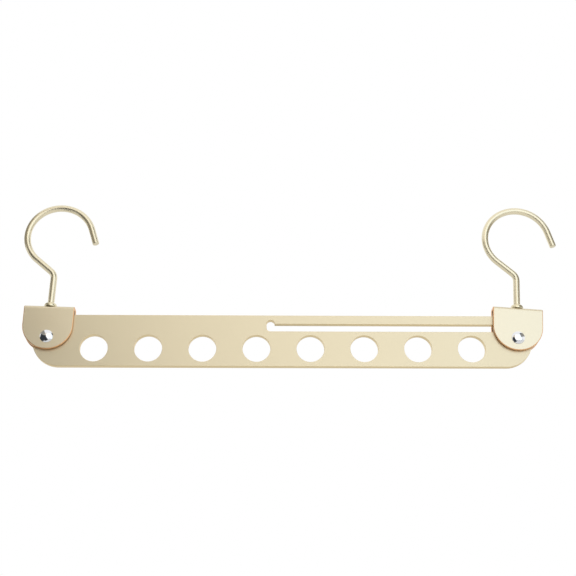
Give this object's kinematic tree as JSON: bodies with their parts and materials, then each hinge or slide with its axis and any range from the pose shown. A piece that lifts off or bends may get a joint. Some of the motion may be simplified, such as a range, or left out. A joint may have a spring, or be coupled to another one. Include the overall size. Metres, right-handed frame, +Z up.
{
  "type": "multi-hole clothes hanger",
  "caption": "Flat drilled bar with a long slot, carried by two swivelling hooks on pivoting brackets, that holds many garment hangers level or in a hanging column.",
  "frame": {"origin": "where a rail carries the hanger: midway between the two hooks, level with the underside of an upright hook's crown, in the bar's mid-plane", "axes": "+Z up, +X along the bar toward the slotted end, -Y toward the front, where the rivets' domed heads are"},
  "size_m": [0.3739, 0.0121, 0.1194],
  "materials": {
    "bar_anodised": "satin champagne anodised",
    "bracket_anodised": "satin champagne anodised, a little smoother than the bar",
    "hook_anodised": "bright champagne anodised wire",
    "rivet_chrome": "polished",
    "washer_steel": "plain",
    "spacer_nylon": "natural nylon"
  },
  "bodies": {
    "bar": {"bar": "bar_anodised"},
    "left_bracket": {"left_bracket": "bracket_anodised", "left_rivet": "rivet_chrome", "left_front_spacer": "spacer_nylon", "left_back_spacer": "spacer_nylon", "left_hook_washer": "washer_steel"},
    "left_hook": {"left_hook": "hook_anodised", "left_hook_collar": "hook_anodised"},
    "right_bracket": {"right_bracket": "bracket_anodised", "right_rivet": "rivet_chrome", "right_front_spacer": "spacer_nylon", "right_back_spacer": "spacer_nylon", "right_hook_washer": "washer_steel"},
    "right_hook": {"right_hook": "hook_anodised", "right_hook_collar": "hook_anodised"}
  },
  "joints": [
    {"name": "left_bracket_pivot", "type": "hinge", "parent": "bar", "child": "left_bracket", "pos_m": [-0.1603, 0, -0.09469], "axis": [0, -1, 0], "range_deg": [-8.2, 171.8]},
    {"name": "left_hook_swivel", "type": "hinge", "parent": "left_bracket", "child": "left_hook", "pos_m": [-0.15959, 0, -0.0725], "axis": [0.0488, 0, 0.9988], "continuous": true},
    {"name": "right_bracket_pivot", "type": "hinge", "parent": "bar", "child": "right_bracket", "pos_m": [0.1603, 0, -0.09469], "axis": [0, 1, 0], "range_deg": [-14, 166]},
    {"name": "right_hook_swivel", "type": "hinge", "parent": "right_bracket", "child": "right_hook", "pos_m": [0.16183, 0, -0.07254], "axis": [0.0523, 0, 0.9986], "continuous": true}
  ]
}
